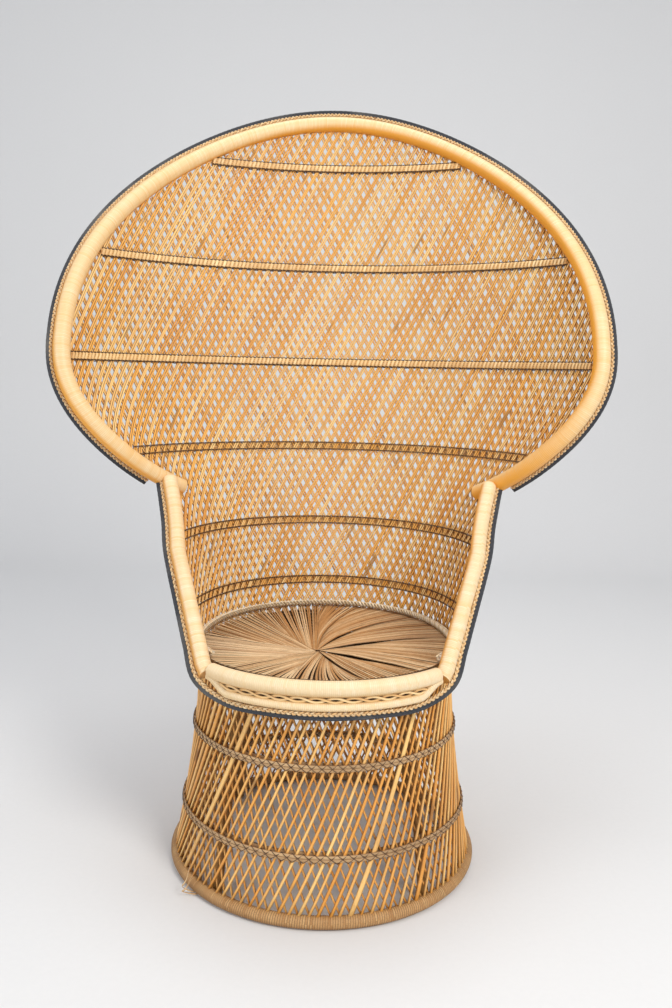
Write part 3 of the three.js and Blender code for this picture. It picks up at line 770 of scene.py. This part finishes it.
rail_step = 0.004
rail_end_share = 0.7
rail_start = rail_end_angle + rail_end_share * (arm_thickness / 2 + contact_gap) / rail_radius
rail_angles = front_angles(rail_start, int(2 * (math.pi - rail_start) * rail_radius / rail_step) + 1)
rail = on_circle(rail_radius, rail_angles, rail_height)
wrapped_pole("front_rail_wrapped", rail, np.broadcast_to(UP, rail.shape), rail_thickness / 2 * rail_fill_share,
             rail_look, turn_pitch, "front_rail")

# Lower rail, whose ends climb to the arms' feet
lower_start = rail_end_angle + 0.02
lower_radius = 0.0073
lower_end_rise = 0.010
lower_end_swing = 0.003
lower_climb = (math.pi - lower_rail_end + 0.02, math.pi - lower_start - 0.01)
slot_middle = rail_height - flat_reach(rail_thickness, 8) - contact_gap - slot_height / 2
lower_height = slot_middle - slot_height / 2 - contact_gap - flat_reach(lower_rail_thickness, 6)
edge_height = lower_height - flat_reach(lower_rail_thickness, 6) - contact_gap - edge_braid / 2
lower_angles = front_angles(lower_start, 150)
climb = smooth_share(*lower_climb, np.abs(lower_angles - math.pi))
lower = on_circle(rail_radius + lower_end_swing * climb, lower_angles,
                  lower_height + (rail_height - lower_end_rise - lower_height) * climb)
wrapped_pole("lower_rail_wrapped", lower, np.broadcast_to(UP, lower.shape), lower_radius, rail_look,
             turn_pitch, "lower_rail")

ring_flat = flat_reach(base_ring_thickness, 8)
ring_wrap_pitch = 0.0040
ring = on_circle(base_ring_radius, np.linspace(0, 2 * math.pi, 361)[:-1], ring_flat)
wrapped_pole("base_ring_wrapped", ring, np.broadcast_to(UP, ring.shape), ring_flat, ring_look,
             ring_wrap_pitch, "base_ring", closed=True)

# Apron braid: two strands that cross over dark slots; the slots' darkness is painted shadow on a backing reed
slot_start = slot_braid_end + 0.045
slot_twist_pitch = 0.031
slot_strand = (0.0042, 0.0022)
slot_strand_out = 0.0022
slot_swing_out, slot_swing_up = 0.0012, 0.0036
slot_edge = (0.0018, 0.0022)
slot_edge_out, slot_edge_up = 0.002, 0.0052
slot_back = (0.011, 0.003)
slot_back_in = 0.0015
angles = front_angles(slot_start, 220)
backing = Canes()
backing.sweep(on_circle(rail_radius - slot_back_in, angles, slot_middle), outward(angles), reed(*slot_back))
backing.make("slot_backing", slot_shadow_look, "peeled_cane", "slot_braid")
twist = Canes()
for phase in (0, math.pi):
    turn = math.pi * angles * rail_radius / slot_twist_pitch + phase
    radius = rail_radius + slot_strand_out + slot_swing_out * np.cos(turn)
    path = on_circle(radius, angles, slot_middle + slot_swing_up * np.sin(turn))
    twist.sweep(path, outward(angles), reed(*slot_strand), 0.6 + phase / 10)
for edge in (-1, 1):
    path = on_circle(rail_radius + slot_edge_out, angles, slot_middle + edge * slot_edge_up)
    twist.sweep(path, outward(angles), reed(*slot_edge), 0.5)
twist.make("slot_braid_canes", band_look, "peeled_cane", "slot_braid")


# Braids and cords

def square_to(path):
    """The direction square to a path and to its outward side."""
    return unit(np.cross(outward_along(path), unit(np.gradient(path, axis=0))))


def plait(builder, path, width, thickness, pitch, strand, facing=None):
    """Three flat strands that cross over each other along a path."""
    path = resample(path, pitch / 9)
    across, out, length = path_frame(path, square_to(path) if facing is None else facing)
    for k, tone in enumerate((0.3, 0.6, 0.9)):
        turn = 2 * math.pi * (length / pitch + k / 3)
        side, lift = np.sin(turn) * (width - strand[0]) / 2, np.sin(2 * turn) * (thickness - strand[1]) / 2
        builder.sweep(path + across * side[:, None] + out * lift[:, None], out, ellipse(*strand, 6), tone)


cord_step = 0.0028
cord_wave = 0.00018
cord_wave_pitch = 0.0113
cord_apart_share = 0.52
cord_strand_shares = (0.98, 1.5)


def double_cord(builder, path, radius):
    """Two fine strands side by side."""
    path = resample(path, cord_step)
    across, out, length = path_frame(path, outward_along(path))
    strand = ellipse(*(radius * share for share in cord_strand_shares), 7)
    for side in (-1, 1):
        wave = cord_wave * np.sin(2 * math.pi * length / cord_wave_pitch + side)
        offset = out * (side * radius * cord_apart_share + wave)[:, None] + across * wave[:, None]
        builder.sweep(path + offset, out, strand, 0.5 + side * 0.3)


edging_t = np.linspace(-rim_edging_end, rim_edging_end, 900)
edging = wall_point(rim_round(edging_t), rim_height(edging_t))
edging_out = outward_along(edging)
braid_distance = (rim_thickness + edge_braid) / 2 + contact_gap
braid_shift = 0.0006
cord_distance = braid_distance + flat_reach(edge_braid, 5) + edge_cord / 2 + contact_gap
cord_tuck = 0.0016
rim_cord_radius = 0.0034
braid = Canes()
plait(braid, edging + edging_out * (braid_distance + braid_shift), width=0.0080, thickness=0.0080,
      pitch=0.024, strand=(0.0040, 0.0028))
braid.make("rim_braid_plait", braid_look, "peeled_cane", "rim_braid")
cord = Canes()
double_cord(cord, edging + edging_out * (cord_distance - cord_tuck), rim_cord_radius)
cord.make("rim_cord_twisted", cord_look, "dark_edging", "rim_cord")

arm_overlap = 0.0024
front_cord_distance = (edge_braid + edge_cord) / 2 - 0.0012
front_cord_radius = 0.0033


def edging_under_front():
    """The braid's course down one arm, under the front and up the other."""
    distance = (arm_thickness + edge_braid) / 2 - arm_overlap
    arc = on_circle(rail_radius, front_angles(edging_turn, 5), edge_height)
    arm = arm_line(arm_steps)
    out = outward_along(arm)
    count = round(edging_top_share * arm_steps)
    beside = (arm + out * distance)[1:count + 1]
    corner = arm[0] + out[0] * (distance + contact_gap)
    right = np.vstack([corner, beside])[::-1]
    return curve_through(np.vstack([right, arc, mirrored(right)[::-1]]), 0.004)


front_line = edging_under_front()
braid = Canes()
plait(braid, front_line, width=0.0090, thickness=0.0085, pitch=0.027, strand=(0.0046, 0.0030))
braid.make("front_edge_plait", braid_look, "peeled_cane", "front_edge_braid")
cord = Canes()
double_cord(cord, front_line + outward_along(front_line) * front_cord_distance, front_cord_radius)
cord.make("front_cord_twisted", cord_look, "dark_edging", "front_edge_cord")


# Seat

def seat_surface(share):
    """The height of the dished seat at a share of its reach."""
    return seat_edge - seat_dish * (1 - np.asarray(share, float) ** 2)


def seat_room(angle):
    """How far the seat reaches from the middle at an angle: less at the back, where the wall is."""
    turned = np.abs((np.asarray(angle, float) + math.pi) % (2 * math.pi) - math.pi)
    swing = smooth_share(corner_start, rail_end_angle, turned)
    back = float(wall_radius(seat_edge - seat_thickness)) - seat_wall_gap
    return back + (seat_front_room - back) * swing


# Sheaves of flat canes that overlap like a pinwheel. Each has a raised edge, and the next one comes out from
# under it. For each: the direction of its raised edge in degrees, how much that edge bends, the width of its
# canes, and its tone. The tones are partly the canes' own and partly painted sheen: the front-left sheaves are
# set lighter.
sheaves = (
    (-5, 0.00, 0.70, 0.30), (16, 0.10, 0.95, 0.35), (50, 0.16, 1.00, 0.50), (88, 0.13, 1.00, 0.45),
    (140, 0.07, 1.00, 0.60), (164, 0.00, 0.90, 0.40), (192, -0.02, 0.85, 0.45), (221, -0.04, 0.95, 0.80),
    (270, -0.02, 0.90, 0.75), (315, 0.00, 0.72, 0.45),
)
hub = np.array([-0.016, base_y, 0.0])
seat_cane_pitch = 0.0064
seat_reed = (0.0053, 0.0017)
sheaf_rise = 0.0040
sheaf_tilt = 0.10
sheaf_hidden_share = 0.42
sheaf_hub_share = 0.02
seat_reach_share = 0.99
seat_sink = 0.0007


def seat_rim(angle):
    """The point in plan where a cane ends at the seat's edge."""
    return on_circle(seat_room(angle) * seat_reach_share, angle, 0.0)


def bowed(start, end, bend, share):
    """A line in plan from start to end that bows sideways by a share of its length."""
    along = end - start
    side = np.array([-along[1], along[0], 0.0])
    return start + along * share[:, None] + side * (bend * 4 * share * (1 - share))[:, None]


def on_seat(plan, lift):
    """A line in plan laid on the seat, a little sunk unless lifted."""
    away = plan - AXIS
    share = np.hypot(away[:, 0], away[:, 1]) / seat_room(np.arctan2(away[:, 0], away[:, 1]))
    return np.stack([plan[:, 0], plan[:, 1], seat_surface(share) - seat_sink + lift], 1)


seat = Canes()
for index, (degrees, bend, wide, light) in enumerate(sheaves):
    before, before_bend = sheaves[index - 1][:2]
    first = math.radians(before - (360 if index == 0 else 0))
    last = math.radians(degrees)
    count = int(seat_room(last) * (last - first) / seat_cane_pitch)
    for i in range(count):
        at = (i + 1) / count
        outer = seat_rim(first + (last - first) * at + rng.gauss(0, 0.004))
        under = sheaf_hidden_share * (1 - at) ** 1.15 + sheaf_hub_share
        inner = bowed(hub, seat_rim(first), before_bend, np.array([under]))[0]
        share = np.linspace(0, 1, 26)
        plan = bowed(inner, outer, bend + (before_bend - bend) * (1 - at) * 0.6, share)
        raised = sheaf_rise * at * np.clip(share * 3 + 0.15, 0, 1) * np.clip((1 - share) * 3 + 0.12, 0, 1)
        path = on_seat(plan, raised - 0.0014 * (1 - np.clip(share * 4, 0, 1)) + rng.gauss(0, 0.00015))
        width = np.interp(share, [0, 0.25, 1], [0.62, 0.92, 1.0]) * rng.uniform(0.9, 1.06) * wide
        tilt = np.cross(unit(np.gradient(path, axis=0)), UP)
        # The sheaf's tone, set lighter at the front left as painted sheen, spread at random for each cane.
        tone = min(1.0, max(0.0, light + rng.uniform(-0.42, 0.42)))
        seat.sweep(path, unit(UP + tilt * sheaf_tilt), reed(*seat_reed), tone, scale=width)
seat.make("seat_canes", seat_look, "seat_cane", "seat_pan")

# Layer of rings under the canes, painted dark as the shade seen through the gaps between them
underlay_rings = 16
underlay_depth = 0.0046
underlay_reed = (0.0152, 0.0018)
turn = np.linspace(0, 2 * math.pi, 97)[:-1]
underlay = Canes()
for k in range(underlay_rings):
    share = (k + 0.8) / (underlay_rings + 1.2)
    path = on_circle(seat_room(turn) * share, turn, seat_surface(share) - underlay_depth)
    underlay.sweep(path, UP, reed(*underlay_reed), k / underlay_rings, closed=True)
underlay.make("seat_underlay", under_shade_look, "seat_cane", "seat_pan")

# Braid round the seat, between the arms' feet
braid_end = rail_end_angle - math.asin(arm_thickness / rail_radius)
braid_inset = 0.0066
braid_lift = 0.0022
angle = np.linspace(-braid_end, braid_end, 300)
braid_height = seat_edge + contact_gap + flat_reach(seat_braid_thickness, 6) + braid_lift
rope_braid = Canes()
plait(rope_braid, on_circle(seat_room(angle) - braid_inset, angle, braid_height), width=0.0128,
      thickness=0.0130, pitch=0.023, strand=(0.0064, 0.0048), facing=UP)
rope_braid.make("seat_braid_plait", rope_look, "rope_braid", "seat_braid")


# Skirt: single round canes on two slants, the rising ones outside

skirt_count = 100
skirt_turn = 0.60
skirt_thickness = 0.0055
skirt_foot = 2 * ring_flat - 0.002
wide_share = 0.13
wide_width = 1.75


def skirt_cane(builder, start, lean, offset, width, tone):
    """A cane from the base ring to the skirt's top that winds round by skirt_turn."""
    heights = np.linspace(skirt_foot, skirt_top, 16)
    share = (heights - heights[0]) / (heights[-1] - heights[0])
    angle = start + lean * skirt_turn * share
    radius = skirt_radius(heights) + offset
    path = on_circle(radius, angle, heights)
    builder.sweep(path, outward(angle), ellipse(width, min(width, skirt_thickness), 8), tone)


for lean, name, offset, width in ((-1, "rising", 0.0016, 0.0056), (1, "falling", -0.0031, 0.0042)):
    builder = Canes()
    for i in range(skirt_count):
        start = 2 * math.pi * (i + rng.gauss(0, 0.07)) / skirt_count
        wide = rng.random() < wide_share and lean < 0
        swell = wide_width if wide else rng.uniform(0.88, 1.1)
        skirt_cane(builder, start, lean, offset, width * swell, rng.random())
    # The falling canes inside take the darker copy of the skirt material: painted shade.
    material = skirt_look if lean < 0 else skirt_behind_shaded_look
    builder.make("skirt_canes_" + name, material, "skirt_cane", "skirt_weave")

# Hoops of two reeds with crossed lashings
hoop_reed = (0.0060, 0.0026)
hoop_reed_offset = 0.0062
hoop_lashings = 90
lash_strand = (0.0014, 0.0010)
lash_reach = 0.0075
lash_offset = 0.0079
lash_dip = 0.0014
lash_apart = 0.0003
angle = np.linspace(0, 2 * math.pi, 241)[:-1]
for label, height in zip(("lower", "upper"), hoop_heights):
    for side, node in ((1, "outside"), (-1, "inside")):
        hoop = Canes()
        for edge in (-1, 1):
            at = height + edge * hoop_reed[0] / 2
            path = on_circle(skirt_radius(at) + side * hoop_reed_offset, angle, at)
            hoop.sweep(path, outward(angle), reed(*hoop_reed), 0.5 + 0.15 * edge, closed=True)
        hoop.make(f"{label}_hoop_{node}_reeds", hoop_look, "peeled_cane", f"{label}_hoop_{node}")
        lash = Canes()
        share = np.linspace(-1, 1, 7)
        for i in range(hoop_lashings):
            for lean in (-1, 1):
                turn = 2 * math.pi * (i + 0.5 * lean * share) / hoop_lashings
                at = height + lash_reach * share
                out = skirt_radius(at) + side * (lash_offset - lash_dip * share ** 4 + lash_apart * lean)
                path = on_circle(out, turn, at)
                lash.sweep(path, outward(turn), ellipse(*lash_strand, 5), rng.random())
        lash.make(f"{label}_hoop_{node}_lashing", lash_look, "peeled_cane", f"{label}_hoop_{node}")

# Two turns of wrapping that have come loose from the base ring
loose_tuck = 0.003
loose_foot = 0.004
loose = Canes()
share = np.linspace(0, 1, 24)
for turn, swell, height, wide in ((-2.27, 0.020, 0.022, 0.0030), (-2.30, 0.026, 0.016, 0.0026)):
    reach = base_ring_radius + ring_flat + swell * np.sin(math.pi * share) ** 0.8 - loose_tuck
    angle = turn + 0.05 * share + 0.03 * np.sin(2 * math.pi * share)
    path = on_circle(reach, angle, loose_foot + 2 * height * share ** 1.4)
    loose.sweep(path, outward(np.full(len(path), turn)), reed(wide, 0.0010), rng.random())
loose.make("loose_wrapping", braid_look, "rattan_pole")

# Frame inside the skirt: the solids as they are
for node in [f"frame_leg_{i}" for i in range(1, 5)] + ["seat_brace_1", "seat_brace_2", "seat_ring"]:
    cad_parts[node].data.materials.clear()
    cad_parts[node].data.materials.append(frame_look)


# Floor, backdrop, light and camera

def stage_material(name, code):
    n = Nodes(name)
    grain = n.noise(n.position(), 90.0, 3.0)
    speckled = n.mix(n.span(grain, 0.35, 0.65, 0.0, 0.06), colour(code), colour("cfcfcf"))
    n.link(speckled, n.shader.inputs["Base Color"])
    n.shader.inputs["Roughness"].default_value = 0.9
    return n.material


floor_look = stage_material("pale_floor", "e4e4e4")
floor_front, floor_back, wall_top, floor_side = -6.0, 2.4, 5.0, 7.0
bend = 0.9
floor_drop = 0.0005
turns = np.linspace(0, math.pi / 2, 24)
course = [(floor_front, 0.0)]
course += [(floor_back + bend * math.sin(a), bend - bend * math.cos(a)) for a in turns]
course += [(floor_back + bend, wall_top)]
points = [(x, y, z - floor_drop) for y, z in course for x in (-floor_side, floor_side)]
faces = [(2 * i, 2 * i + 1, 2 * i + 3, 2 * i + 2) for i in range(len(course) - 1)]
mesh = bpy.data.meshes.new("studio_floor")
mesh.from_pydata(points, [], faces)
mesh.shade_smooth()
mesh.materials.append(floor_look)
floor = bpy.data.objects.new("studio_floor", mesh)
bpy.context.scene.collection.objects.link(floor)


def lamp(name, place, target, size, power, tint=(1, 1, 1)):
    """A round area lamp that points at a target."""
    data = bpy.data.lights.new(name, "AREA")
    data.shape = "DISK"
    data.size = size
    data.energy = power
    data.color = tint
    light = bpy.data.objects.new(name, data)
    light.location = place
    light.rotation_euler = (Vector(target) - Vector(place)).to_track_quat("-Z", "Y").to_euler()
    bpy.context.scene.collection.objects.link(light)
    return light


lamp("key", (1.9, -2.7, 2.9), (0, 0, 0.8), 1.5, 95, (1.0, 0.97, 0.92))
lamp("fill", (-2.8, -2.2, 1.9), (0, 0, 0.8), 2.4, 38, (0.95, 0.98, 1.0))
lamp("top", (0.0, 0.4, 3.6), (0, 0, 0.6), 2.0, 30)
world = bpy.data.worlds.new("studio")
world.use_nodes = True
world.node_tree.nodes["Background"].inputs["Color"].default_value = (0.93, 0.95, 1.0, 1)
world.node_tree.nodes["Background"].inputs["Strength"].default_value = 0.55
bpy.context.scene.world = world

# The photograph's view: the focal length is in pixels of a picture 1008 pixels high
focal_pixels = 905
picture_height = 1008
camera = bpy.data.objects.new("camera", bpy.data.cameras.new("camera"))
bpy.context.scene.collection.objects.link(camera)
camera.data.sensor_width = 36
camera.data.lens = focal_pixels * camera.data.sensor_width / picture_height
pitch, roll = math.radians(8.3), math.radians(1.2)
camera.location = (0.014, base_y - 1.71, 0.94)
look = Vector((0, math.cos(pitch), -math.sin(pitch))).to_track_quat("-Z", "Y")
camera.rotation_euler = (look.to_matrix() @ Matrix.Rotation(roll, 3, "Z")).to_euler()
bpy.context.scene.camera = camera
bpy.context.scene.view_settings.view_transform = "Standard"
